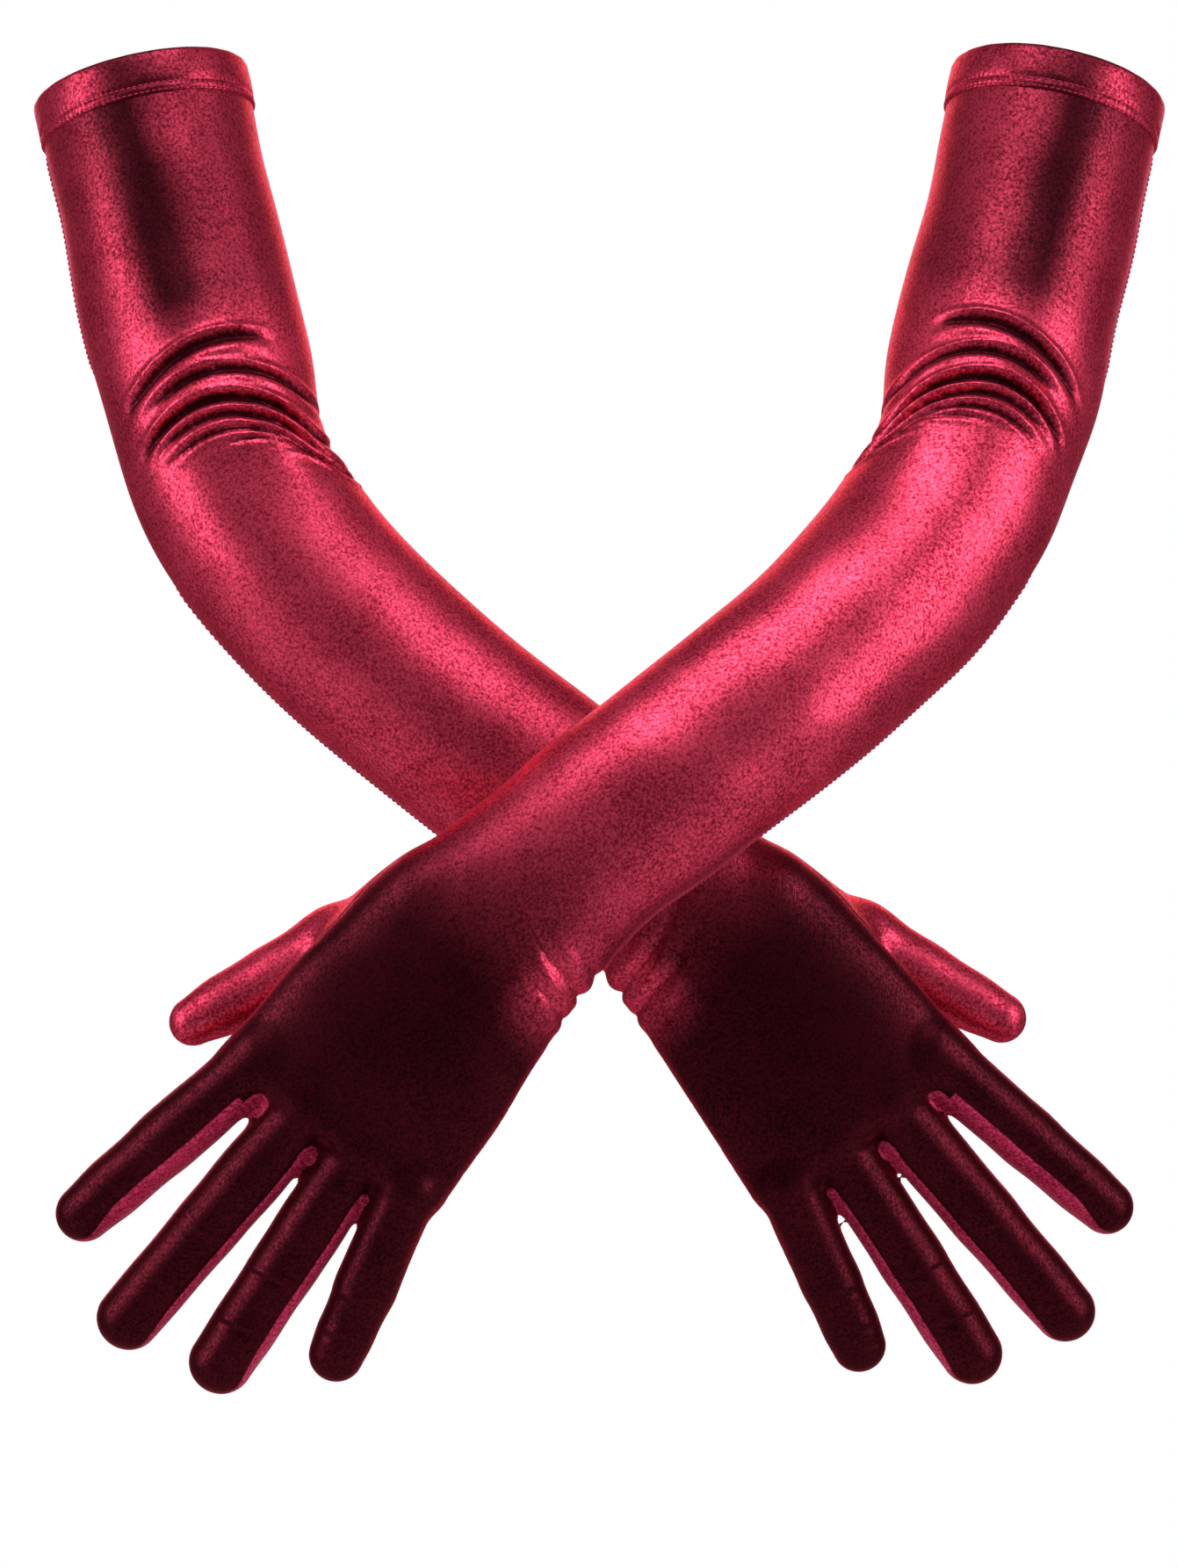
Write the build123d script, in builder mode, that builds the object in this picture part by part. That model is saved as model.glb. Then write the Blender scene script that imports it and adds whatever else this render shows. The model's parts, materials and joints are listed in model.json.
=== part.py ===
"""A pair of full-length stretch-satin evening gloves, filled out as worn on crossed forearms.

Frame: +Z up, the backs of both hands face -Y, +X to the right. The right glove's cuff is on the
-X side and its hand on the +X side; the left glove mirrors it and passes in front, at lower Y.
Each glove is cut from a back panel and a palm panel, a folded hem, a thumb piece and six
fourchettes (the strips between the fingers). Where the arm bends the cloth is divided, so that
each length can move with its own part of the arm, and a ring of gathers bridges the bend.
"""

import os
from math import cos, radians, sin

from build123d import *

os.makedirs("parts", exist_ok=True)

# ---------------------------------------------------------------- driving dimensions, mm
CLOTH = 1.0                 # wall of every panel, cloth and lining together
JOIN_GAP = 0.5              # clear space between a ring of gathers and the panels beside it
DEPTH_SHIFT = 4.1           # moves the pair along Y, so that the origin is at the box's centre
HEIGHT_SHIFT = -1.6         # moves the pair along Z, for the same reason

HEM_HEIGHT = 14.0
HEM_OUTER_RADIUS = 33.6
HEM_INNER_RADIUS = 32.0
STITCH_ROWS = (11.0, 13.3)  # distance of the two rows of hem stitching below the top edge
STITCH_WIDTH = 0.5
STITCH_HEIGHT = 0.35

SEAM_ARC = 1.4              # degrees of the girth left open along each edge where panels meet
SEAM_WIDTH = 1.2            # corded side seam on the outer edge of the sleeve
SEAM_HEIGHT = 0.8
SEAM_PROUD = 0.3            # distance of the seam cord from the panels

# Sections along the arm: (x, z, half width, half depth), for the left glove. The right glove
# has the same sections at -x.
UPPER_SLEEVE = [(140.1, 183.3, 33.0, 33.0), (132.5, 149.0, 33.0, 32.6), (122.5, 110.0, 34.0, 32.0)]
FOREARM = [
    (106.0, 62.0, 32.8, 30.5),
    (71.0, 21.0, 31.3, 28.5),
    (20.0, -20.0, 30.6, 25.5),
    (-21.0, -53.0, 30.0, 22.0),
]
HAND = [
    (-37.0, -70.0, 33.0, 19.0),
    (-54.0, -90.0, 38.0, 15.5),
    (-72.0, -113.0, 40.0, 14.5),
    (-83.0, -128.0, 41.0, 12.5),
]
# Distance of each of those sections along Y. The left glove rises over the right one where the
# forearms cross.
DEPTHS = {
    "right": {"upper": (42.3, 33.0, 22.0), "forearm": (15.0, 8.0, 0.0, -5.0),
              "hand": (-6.0, -6.0, -4.0, -2.0)},
    "left": {"upper": (42.3, 31.0, 14.0), "forearm": (-4.0, -36.0, -58.0, -64.0),
             "hand": (-66.0, -66.0, -64.0, -62.0)},
}

# Finger stalls: root centre (x, z), end of the tip (x, z), radius at the root and at the tip.
FINGERS = {
    "index": ((-112.0, -112.0), (-162.7, -156.3), 10.0, 9.2),
    "middle": ((-98.0, -130.0), (-149.2, -190.1), 10.6, 10.0),
    "ring": ((-80.5, -143.5), (-120.0, -203.6), 10.3, 10.1),
    "little": ((-63.5, -156.0), (-83.0, -200.9), 9.3, 8.6),
}
FINGER_ROOT_DEPTH = {"right": -1.0, "left": -61.0}
FINGER_DROP = 15.0          # how far behind its root the tip of a finger lies
THUMB = ((-82.0, -66.0), (-131.5, -93.0), 11.3, 9.3)
THUMB_DEPTH_BEHIND_HAND = 19.0
FOURCHETTE_ARC = 64.0       # degrees of a finger's girth that one fourchette takes
KNUCKLE_FOLD = 2.0          # width of the roll of cloth at the root of a finger
KNUCKLE_FOLD_BACK = 2.4     # distance from that roll's near edge to the stall's root

ELBOW_RIPPLES = 6
ELBOW_RIPPLE_HEIGHT = 1.5
WRIST_RIPPLES = 3
WRIST_RIPPLE_HEIGHT = 1.0

MIRROR_X = {"left": 1, "right": -1}


# ---------------------------------------------------------------- sections
def point(side, x, depth, z):
    """A point of the named glove, from the left glove's x and z and its own depth."""
    return Vector(MIRROR_X[side] * x, depth + DEPTH_SHIFT, z + HEIGHT_SHIFT)


def section_plane(centre, along):
    """The plane across the arm at centre: x runs across the arm, y towards the palm panel."""
    across = along.cross(Vector(0, -1, 0)).normalized()
    return Plane(origin=centre, x_dir=across, z_dir=along)


def arm_sections(side):
    """Every section of one glove as (plane, half width, half depth), in three lists."""
    lists = {"upper": UPPER_SLEEVE, "forearm": FOREARM, "hand": HAND}
    centres = []
    for name, sections in lists.items():
        depths = DEPTHS[side][name]
        for (x, z, wide, deep), depth in zip(sections, depths):
            centres.append((name, point(side, x, depth, z), wide, deep))
    found = {name: [] for name in lists}
    for i, (name, centre, wide, deep) in enumerate(centres):
        before = centres[max(i - 1, 0)][1]
        after = centres[min(i + 1, len(centres) - 1)][1]
        along = (after - before).normalized()
        found[name].append((section_plane(centre, along), wide, deep))
    return found


def export(part, name):
    part.label = name
    export_step(part, f"parts/{name}.step")


# ---------------------------------------------------------------- sleeve and hand panels
def panel(sections, start, straight=False):
    """Half of a hollow sleeve of cloth, from the angle start to start + 180 degrees."""
    first = start + SEAM_ARC / 2
    arc = 180 - SEAM_ARC
    with BuildPart() as cloth:
        for plane, wide, deep in sections:
            inner_wide = wide - CLOTH
            inner_deep = deep - CLOTH
            with BuildSketch(plane):
                with BuildLine():
                    outer = EllipticalCenterArc((0, 0), wide, deep, first, arc_size=arc)
                    inner = EllipticalCenterArc((0, 0), inner_wide, inner_deep, first, arc_size=arc)
                    Line(outer @ 0, inner @ 0)
                    Line(outer @ 1, inner @ 1)
                make_face()
        loft(ruled=straight)
    return cloth.part


def back_and_palm(side, name, sections):
    """The palm panel is the half of the sleeve on the sections' +y side, the back the other."""
    export(panel(sections, 0), f"{side}_{name}_palm")
    export(panel(sections, 180), f"{side}_{name}_back")


def side_seam(side, name, sections):
    """A cord of stitched seam along the little-finger edge, where the two panels meet."""
    outward = -MIRROR_X[side]
    with BuildPart() as seam:
        for plane, wide, deep in sections:
            middle = outward * (wide + SEAM_PROUD + SEAM_HEIGHT / 2)
            with BuildSketch(plane):
                with Locations((middle, 0)):
                    Rectangle(SEAM_HEIGHT, SEAM_WIDTH)
        loft()
    export(seam.part, f"{side}_{name}_seam")


def gathers(side, name, near, far, ripples, height):
    """A rippled sleeve that bridges a bend, from section near to section far, in two halves."""
    (near_plane, near_wide, near_deep), (far_plane, far_wide, far_deep) = near, far
    span = (far_plane.origin - near_plane.origin).length
    steps = 2 * ripples
    outline = []
    for i in range(steps + 1):
        share = (JOIN_GAP + (span - 2 * JOIN_GAP) * i / steps) / span
        centre = near_plane.origin * (1 - share) + far_plane.origin * share
        along = near_plane.z_dir * (1 - share) + far_plane.z_dir * share
        swell = height if i % 2 else 0
        wide = near_wide * (1 - share) + far_wide * share + swell
        deep = near_deep * (1 - share) + far_deep * share + swell
        outline.append((section_plane(centre, along.normalized()), wide, deep))
    with BuildPart() as tube:
        add(panel(outline, 0, straight=True))
        add(panel(outline, 180, straight=True))
    export(tube.part, f"{side}_{name}_gathers")


# ---------------------------------------------------------------- hem
def hem(side, top_section):
    """The folded hem at the arm opening, a plain ring, with two rows of stitching round it."""
    plane, wide, deep = top_section
    lower = Plane(origin=plane.origin, x_dir=plane.x_dir, z_dir=-plane.z_dir)
    with BuildPart() as band:
        with BuildSketch(lower):
            Circle(HEM_OUTER_RADIUS)
            Circle(HEM_INNER_RADIUS, mode=Mode.SUBTRACT)
        extrude(amount=HEM_HEIGHT)
    export(band.part, f"{side}_hem_band")

    with BuildPart() as stitching:
        for below_edge in STITCH_ROWS:
            with BuildSketch(lower.offset(HEM_HEIGHT - below_edge - STITCH_WIDTH / 2)):
                Circle(HEM_OUTER_RADIUS + STITCH_HEIGHT)
                Circle(HEM_OUTER_RADIUS, mode=Mode.SUBTRACT)
            extrude(amount=STITCH_WIDTH)
    export(stitching.part, f"{side}_hem_stitching")


# ---------------------------------------------------------------- finger stalls
class Stall:
    """The tapered, round-ended tube of cloth for one finger or the thumb."""

    def __init__(self, side, root, tip, root_radius, tip_radius):
        self.root = root
        self.length = (tip - root).length
        self.along = (tip - root).normalized()
        self.root_radius = root_radius
        self.tip_radius = tip_radius
        down_to_palm = Vector(0, 1, 0)
        self.back = (self.along * self.along.dot(down_to_palm) - down_to_palm).normalized()
        self.turn = MIRROR_X[side]

    def radial(self, angle):
        """The direction away from the axis at angle, 0 at the back and 90 at the thumb side."""
        turned = radians(self.turn * angle)
        return self.back * cos(turned) + self.along.cross(self.back) * sin(turned)

    def strip(self, name, middle, arc):
        """The sector of the stall that is arc degrees wide, about the angle middle."""
        first = middle - self.turn * arc / 2
        radial = self.radial(first)
        straight = self.length - self.tip_radius
        with BuildPart() as cloth:
            with BuildSketch(Plane(origin=self.root, x_dir=radial, z_dir=radial.cross(self.along))):
                with BuildLine():
                    outer_side = Line((self.root_radius, 0), (self.tip_radius, straight))
                    outer_end = RadiusArc(outer_side @ 1, (0, self.length), -self.tip_radius)
                    inner_top = Line(outer_end @ 1, (0, self.length - CLOTH))
                    inner_radius = self.tip_radius - CLOTH
                    inner_end = RadiusArc(inner_top @ 1, (inner_radius, straight), inner_radius)
                    inner_side = Line(inner_end @ 1, (self.root_radius - CLOTH, 0))
                    Line(inner_side @ 1, outer_side @ 0)
                make_face()
            revolve(axis=Axis(self.root, self.along), revolution_arc=arc)
        export(cloth.part, name)

    def panels(self, side, name, thumb_side_fourchette, little_side_fourchette):
        """Back and palm strips, with a fourchette between them where a finger stands beside."""
        half = FOURCHETTE_ARC / 2
        thumb_edge = 90 - half if thumb_side_fourchette else 90
        little_edge = 90 - half if little_side_fourchette else 90
        lean = (thumb_edge - little_edge) / 2
        self.strip(f"{side}_{name}_back", lean, thumb_edge + little_edge)
        self.strip(f"{side}_{name}_palm", 180 - lean, thumb_edge + little_edge)
        if thumb_side_fourchette:
            self.strip(f"{side}_{name}_fourchette_{thumb_side_fourchette}", 90, FOURCHETTE_ARC)
        if little_side_fourchette:
            self.strip(f"{side}_{name}_fourchette_{little_side_fourchette}", 270, FOURCHETTE_ARC)


def finger(side, name):
    (root_x, root_z), (tip_x, tip_z), root_radius, tip_radius = FINGERS[name]
    depth = FINGER_ROOT_DEPTH[side]
    root = point(side, root_x, depth, root_z)
    tip = point(side, tip_x, depth + FINGER_DROP, tip_z)
    return Stall(side, root, tip, root_radius, tip_radius)


def thumb(side):
    (root_x, root_z), (tip_x, tip_z), root_radius, tip_radius = THUMB
    depth = DEPTHS[side]["hand"][0] + THUMB_DEPTH_BEHIND_HAND
    root = point(side, root_x, depth, root_z)
    tip = point(side, tip_x, depth, tip_z)
    return Stall(side, root, tip, root_radius, tip_radius)


def knuckle_folds(side, stalls):
    """A roll of slack cloth at the root of each of the four fingers, all in one node."""
    with BuildPart() as rolls:
        for stall in stalls:
            radial = stall.radial(0)
            plane = Plane(origin=stall.root, x_dir=radial, z_dir=radial.cross(stall.along))
            middle = KNUCKLE_FOLD / 2 - KNUCKLE_FOLD_BACK
            with BuildSketch(plane):
                with Locations((stall.root_radius - CLOTH, middle)):
                    Ellipse(CLOTH, KNUCKLE_FOLD / 2)
            revolve(axis=Axis(stall.root, stall.along))
    export(rolls.part, f"{side}_knuckle_folds")


# ---------------------------------------------------------------- the pair
def glove(side):
    sections = arm_sections(side)
    upper, forearm, hand = sections["upper"], sections["forearm"], sections["hand"]

    hem(side, upper[0])
    back_and_palm(side, "upper_sleeve", upper)
    side_seam(side, "upper_sleeve", upper)
    gathers(side, "elbow", upper[-1], forearm[0], ELBOW_RIPPLES, ELBOW_RIPPLE_HEIGHT)
    back_and_palm(side, "forearm", forearm)
    side_seam(side, "forearm", forearm)
    gathers(side, "wrist", forearm[-1], hand[0], WRIST_RIPPLES, WRIST_RIPPLE_HEIGHT)
    back_and_palm(side, "hand", hand)

    stalls = {name: finger(side, name) for name in FINGERS}
    stalls["index"].panels(side, "index", None, "inner")
    stalls["middle"].panels(side, "middle", "outer", "inner")
    stalls["ring"].panels(side, "ring", "outer", "inner")
    stalls["little"].panels(side, "little", "outer", None)
    knuckle_folds(side, stalls.values())
    thumb(side).panels(side, "thumb", None, None)


for each_side in ("right", "left"):
    glove(each_side)
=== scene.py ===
"""A pair of wine-red stretch-satin opera gloves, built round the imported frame."""

import json
import math

import bpy
import numpy as np
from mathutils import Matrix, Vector


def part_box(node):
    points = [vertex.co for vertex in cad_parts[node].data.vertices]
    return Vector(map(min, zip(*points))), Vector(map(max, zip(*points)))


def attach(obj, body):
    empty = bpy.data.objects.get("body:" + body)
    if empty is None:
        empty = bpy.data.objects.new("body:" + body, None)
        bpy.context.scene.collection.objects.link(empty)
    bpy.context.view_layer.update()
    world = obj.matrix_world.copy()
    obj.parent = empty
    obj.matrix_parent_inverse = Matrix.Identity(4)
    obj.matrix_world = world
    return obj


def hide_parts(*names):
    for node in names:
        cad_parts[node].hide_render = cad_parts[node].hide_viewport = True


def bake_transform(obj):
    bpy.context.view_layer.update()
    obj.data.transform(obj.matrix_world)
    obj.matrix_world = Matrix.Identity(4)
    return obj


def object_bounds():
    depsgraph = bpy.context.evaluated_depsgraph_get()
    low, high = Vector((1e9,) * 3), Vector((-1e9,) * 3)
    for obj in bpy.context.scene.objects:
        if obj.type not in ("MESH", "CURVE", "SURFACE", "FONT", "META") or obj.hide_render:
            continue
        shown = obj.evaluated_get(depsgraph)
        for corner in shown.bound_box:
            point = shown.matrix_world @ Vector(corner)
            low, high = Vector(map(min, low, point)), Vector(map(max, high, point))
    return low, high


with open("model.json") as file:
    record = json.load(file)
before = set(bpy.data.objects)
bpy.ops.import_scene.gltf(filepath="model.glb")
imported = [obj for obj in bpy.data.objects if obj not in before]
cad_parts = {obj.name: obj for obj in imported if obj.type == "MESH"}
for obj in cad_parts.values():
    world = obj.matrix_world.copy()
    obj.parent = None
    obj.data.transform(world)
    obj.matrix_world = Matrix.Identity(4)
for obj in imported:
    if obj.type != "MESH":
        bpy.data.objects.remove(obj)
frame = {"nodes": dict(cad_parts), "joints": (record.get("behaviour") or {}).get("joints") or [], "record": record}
cad_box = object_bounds()

MM = 0.001
FINGERS = ("index", "middle", "ring", "little")
TOWARDS_PALM = np.array([0.0, 1.0, 0.0])
JOINTS = {j["name"]: j for j in frame["joints"]}
MOUNTS = {m["name"]: m for m in frame["record"]["mounts"]}

# ---------------------------------------------------------------- driving sizes of the looks
GRID = 2.0 * MM               # spacing of the grid that the skin is drawn on
BLOCK = 4                     # grid steps in one block of the coarse search
CLOTH = 0.6 * MM
HEM_HEIGHT = 14.0 * MM
HEM_ROWS = (10.9 * MM, 13.2 * MM)
HALF_ELBOW = 27.0 * MM        # half the length of sleeve that bends at the elbow
HALF_WRIST = 13.0 * MM
FINGER_CUT = -1.5 * MM        # where a finger's panels leave the hand, from its root
FINGER_BEND = 17.0 * MM
THUMB_CUT = 5.0 * MM
THUMB_BEND = 24.0 * MM
THUMB_LEAN = (4.5 * MM, 3.5 * MM)      # how much nearer the index it is drawn, root and tip
THUMB_FULLER = (1.0 * MM, -1.3 * MM)   # how much thicker it is drawn, root and tip
HEEL_PAST_WRIST = 11.0 * MM   # where the pad of flesh under the thumb starts
HEEL_ANGLE = math.radians(14)
HEEL_SUNK = 10.0 * MM
PAD_RADIUS = 11.0 * MM
KNOTS = (4.2 * MM, 3.4 * MM, 2.2 * MM)   # gathered ends of the strips, index side first
STITCHES = 112                # in each row round the hem
NEAR_FINGERS = -9.0 * MM      # from here on, the skin is cut between the fingers
CAMERA_DISTANCE = 4.0
CAMERA_LENS = 298.8
CAMERA_ASIDE = -3.4 * MM      # where the camera aims, from the middle of the CAD box
CAMERA_DOWN = -22.3 * MM
FLOOR_RADIUS = 3.0
FLOOR_BELOW = 0.42            # distance of the floor under the lowest finger

# Folds of slack cloth at the elbow, in mm: how far past the joint the fold's crown is, how far
# the crown is towards the thumb side, how much the fold bows over 33 mm, where it starts on the
# thumb side and ends on the other, its depth and its width.
ELBOW_FOLDS = (
    (-26.0, 4.0, 12.5, 25.0, -31.0, 2.3, 2.9),
    (-17.0, -2.0, 16.0, 40.0, -23.0, 1.9, 2.5),
    (-8.6, -4.0, 18.0, 44.0, -31.0, 2.6, 2.8),
    (-3.6, -5.0, 19.0, 44.0, -27.0, 2.0, 2.2),
    (1.6, -4.0, 19.0, 44.0, -23.0, 1.4, 1.7),
    (6.2, 0.0, 19.0, 44.0, -6.0, 1.0, 1.4),
    (10.6, 5.0, 19.0, 44.0, 7.0, 0.9, 1.2),
)
# Half angles, in degrees, of the strip down a finger's side: towards the back, then the palm.
STRIPS = {("index", "inner"): (62.0, 30.0), ("middle", "outer"): (8.0, 32.0),
          ("middle", "inner"): (40.0, 30.0), ("ring", "outer"): (8.0, 32.0),
          ("ring", "inner"): (42.0, 30.0), ("little", "outer"): (8.0, 32.0)}
SLICES = {"upper_sleeve": (0.14, 0.5, 0.86),
          "forearm": (0.1, 0.26, 0.42, 0.58, 0.74, 0.9),
          "hand": (0.16, 0.42, 0.66, 0.88)}
# Columns of the table that goes with the skin's vertices.
PLACE, S, X, Y, ARM, THUMB, THUMB_A, THUMB_X, THUMB_Y, FIRST_FINGER = (
    slice(0, 3), 3, 4, 5, 6, 7, 8, 9, 10, 11)
ELBOW_T, WRIST_T, COLUMNS = 27, 28, 29


# ---------------------------------------------------------------- small tools
def unit(v):
    v = np.asarray(v, float)
    return v / np.linalg.norm(v, axis=-1, keepdims=True)


def smoothstep(x, low=0.0, high=1.0):
    t = np.clip((x - low) / (high - low), 0, 1)
    return t * t * (3 - 2 * t)


def smooth_min(a, b, k):
    """The lesser of two distances, with the corner between them rounded over k."""
    h = np.clip(0.5 + 0.5 * (b - a) / k, 0, 1)
    return b + (a - b) * h - k * h * (1 - h)


def bump(x, width):
    return np.exp(-((x / width) ** 2))


def natural_spline(t, values, where):
    """A natural cubic spline through values at t, evaluated at where."""
    t, values = np.asarray(t, float), np.asarray(values, float)
    n = len(t)
    h = np.diff(t)
    system = np.eye(n)
    right = np.zeros((n, values.shape[1]))
    slope = np.diff(values, axis=0) / h[:, None]
    for i in range(1, n - 1):
        system[i, i - 1:i + 2] = h[i - 1], 2 * (h[i - 1] + h[i]), h[i]
        right[i] = 6 * (slope[i] - slope[i - 1])
    bend = np.linalg.solve(system, right)
    i = np.clip(np.searchsorted(t, where) - 1, 0, n - 2)
    u = (where - t[i])[:, None]
    hi = h[i][:, None]
    return (values[i] + u * (slope[i] - hi * (2 * bend[i] + bend[i + 1]) / 6)
            + u ** 2 * bend[i] / 2 + u ** 3 * (bend[i + 1] - bend[i]) / (6 * hi))


def joint_place(name):
    return np.array(JOINTS[name]["pos_m"])


# ---------------------------------------------------------------- reading the frame
def cad_mesh(*names):
    """Vertices and edges of some CAD nodes, together."""
    points, edges, first = [], [], 0
    for name in names:
        mesh = frame["nodes"][name].data
        co = np.empty(len(mesh.vertices) * 3)
        mesh.vertices.foreach_get("co", co)
        pairs = np.empty(len(mesh.edges) * 2, int)
        mesh.edges.foreach_get("vertices", pairs)
        points.append(co.reshape(-1, 3))
        edges.append(pairs.reshape(-1, 2) + first)
        first += len(mesh.vertices)
    return np.concatenate(points), np.concatenate(edges)


def across_and_depth(along):
    across = unit(np.cross(along, -TOWARDS_PALM))
    return across, np.cross(along, across)


def cut_ring(mesh, origin, along):
    """Centre, half width and half depth of the tube where a plane cuts it."""
    points, edges = mesh
    height = (points - origin) @ along
    a, b = edges.T
    crossing = height[a] * height[b] < 0
    a, b = a[crossing], b[crossing]
    share = (height[a] / (height[a] - height[b]))[:, None]
    ring = points[a] * (1 - share) + points[b] * share
    across, depth = across_and_depth(along)
    x, y = (ring - origin) @ across, (ring - origin) @ depth
    middle = origin + across * (x.min() + x.max()) / 2 + depth * (y.min() + y.max()) / 2
    return middle, np.ptp(x) / 2, np.ptp(y) / 2


class Arm:
    """The smooth line down the middle of one sleeve and hand, with its width and depth."""

    STEPS = 420
    PAST_KNUCKLES = 7.0 * MM

    def __init__(self, side):
        self.side = side
        self.sign = 1 if side == "left" else -1
        mount = MOUNTS[f"{side}_arm_opening"]
        hem_axis = unit(np.array(mount["axis"]))
        hem = np.array(mount["pos_m"])
        radius = (mount["dims"]["r_mm"] + 1.0) * MM
        elbow, wrist = joint_place(f"{side}_elbow"), joint_place(f"{side}_wrist")
        if (hem - elbow) @ hem_axis < 0:
            hem_axis = -hem_axis
        knuckles = (joint_place(f"{side}_index_curl") + joint_place(f"{side}_little_curl")) / 2
        top = hem + hem_axis * HEM_HEIGHT / 2
        self.spans = {"upper_sleeve": (hem, elbow), "forearm": (elbow, wrist),
                      "hand": (wrist, knuckles)}
        rings = [(top + hem_axis * 2 * HEM_HEIGHT, radius, radius), (top, radius, radius),
                 (hem - hem_axis * HEM_HEIGHT / 2, radius, radius)]
        for name, (first, last) in self.spans.items():
            mesh = self.panels(name)
            along = unit(last - first)
            reach = (mesh[0] - first) @ along
            for share in SLICES[name]:
                origin = first + along * (reach.min() + share * np.ptp(reach))
                rings.append(cut_ring(mesh, origin, along))
        self.fit(self.squared(rings))

    def panels(self, name):
        return cad_mesh(f"{self.side}_{name}_back", f"{self.side}_{name}_palm")

    def squared(self, rings):
        """Cuts each ring again, square to the line through the first cuts' centres."""
        centres = np.array([r[0] for r in rings])
        out = rings[:3]
        for name in self.spans:
            mesh = self.panels(name)
            for _ in SLICES[name]:
                i = len(out)
                ahead = centres[min(i + 1, len(centres) - 1)]
                out.append(cut_ring(mesh, centres[i], unit(ahead - centres[i - 1])))
        return out

    def fit(self, rings):
        centres = np.array([r[0] for r in rings])
        sizes = np.array([r[1:] for r in rings])
        step = unit(centres[-1] - centres[-2]) * self.PAST_KNUCKLES
        centres = np.vstack([centres, centres[-1] + step])
        sizes = np.vstack([sizes, sizes[-1] * (1.0, 0.94)])
        t = np.concatenate([[0], np.cumsum(np.linalg.norm(np.diff(centres, axis=0), axis=1))])
        fine = np.linspace(0, t[-1], self.STEPS)
        table = natural_spline(t, np.hstack([centres, sizes]), fine)
        kernel = bump(np.arange(-20, 21), 9.0)
        padded = np.pad(table, ((20, 20), (0, 0)), mode="reflect", reflect_type="odd")
        smooth = [np.convolve(c, kernel / kernel.sum(), "valid") for c in padded.T]
        table = np.stack(smooth, axis=1)
        s = np.concatenate([[0], np.cumsum(np.linalg.norm(np.diff(table[:, :3], axis=0), axis=1))])
        even = np.linspace(0, s[-1], self.STEPS)
        table = np.stack([np.interp(even, s, c) for c in table.T], axis=1)
        tangent = unit(np.gradient(table[:, :3], even, axis=0))
        self.table = np.hstack([table[:, :3], tangent, table[:, 3:]])
        self.gap = even[1]
        self.start = -2 * HEM_HEIGHT           # s is 0 at the hem's edge
        self.end = self.start + even[-1]
        self.s = self.start + even

    def look(self, s):
        step = (s - self.start) / self.gap
        i = np.clip(step.astype(int), 0, self.STEPS - 2)
        share = np.clip(step - i, 0, 1)[:, None]
        return self.table[i] * (1 - share) + self.table[i + 1] * share

    def place(self, p):
        """s, offsets towards thumb, palm and end, and the half width and depth there."""
        some = self.table[::10, :3]
        s = np.empty(len(p))
        for first in range(0, len(p), 200_000):
            part = p[first:first + 200_000]
            far = (part ** 2).sum(1)[:, None] - 2 * part @ some.T + (some ** 2).sum(1)
            s[first:first + 200_000] = self.s[::10][far.argmin(1)]
        for _ in range(4):
            row = self.look(s)
            s = np.clip(s + ((p - row[:, :3]) * row[:, 3:6]).sum(1), self.start, self.end)
        row = self.look(s)
        offset, along = p - row[:, :3], row[:, 3:6]
        across, depth = across_and_depth(along)
        dot = [(offset * axis).sum(1) for axis in (across, depth, along)]
        return s, self.sign * dot[0], dot[1], dot[2], row[:, 6], row[:, 7]

    def outline(self, s, angle, proud=0.0):
        """Points on the tube at s, angle round it from the thumb side by way of the palm."""
        row = self.look(s)
        across, depth = across_and_depth(row[:, 3:6])
        x = self.sign * (row[:, 6] + proud) * np.cos(angle)
        y = (row[:, 7] + proud) * np.sin(angle)
        return row[:, :3] + across * x[:, None] + depth * y[:, None]

    def distance(self, placed):
        s, x, y, beyond, wide, deep = placed
        q = np.sqrt((x / wide) ** 2 + (y / deep) ** 2) + 1e-9
        steep = np.sqrt((x / wide ** 2) ** 2 + (y / deep ** 2) ** 2) / q
        side = (q - 1) / np.maximum(steep, 1 / np.maximum(wide, deep))
        side = np.maximum(side, -np.minimum(wide, deep))
        return -smooth_min(-side, -(s - self.end + beyond), 6 * MM)


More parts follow.
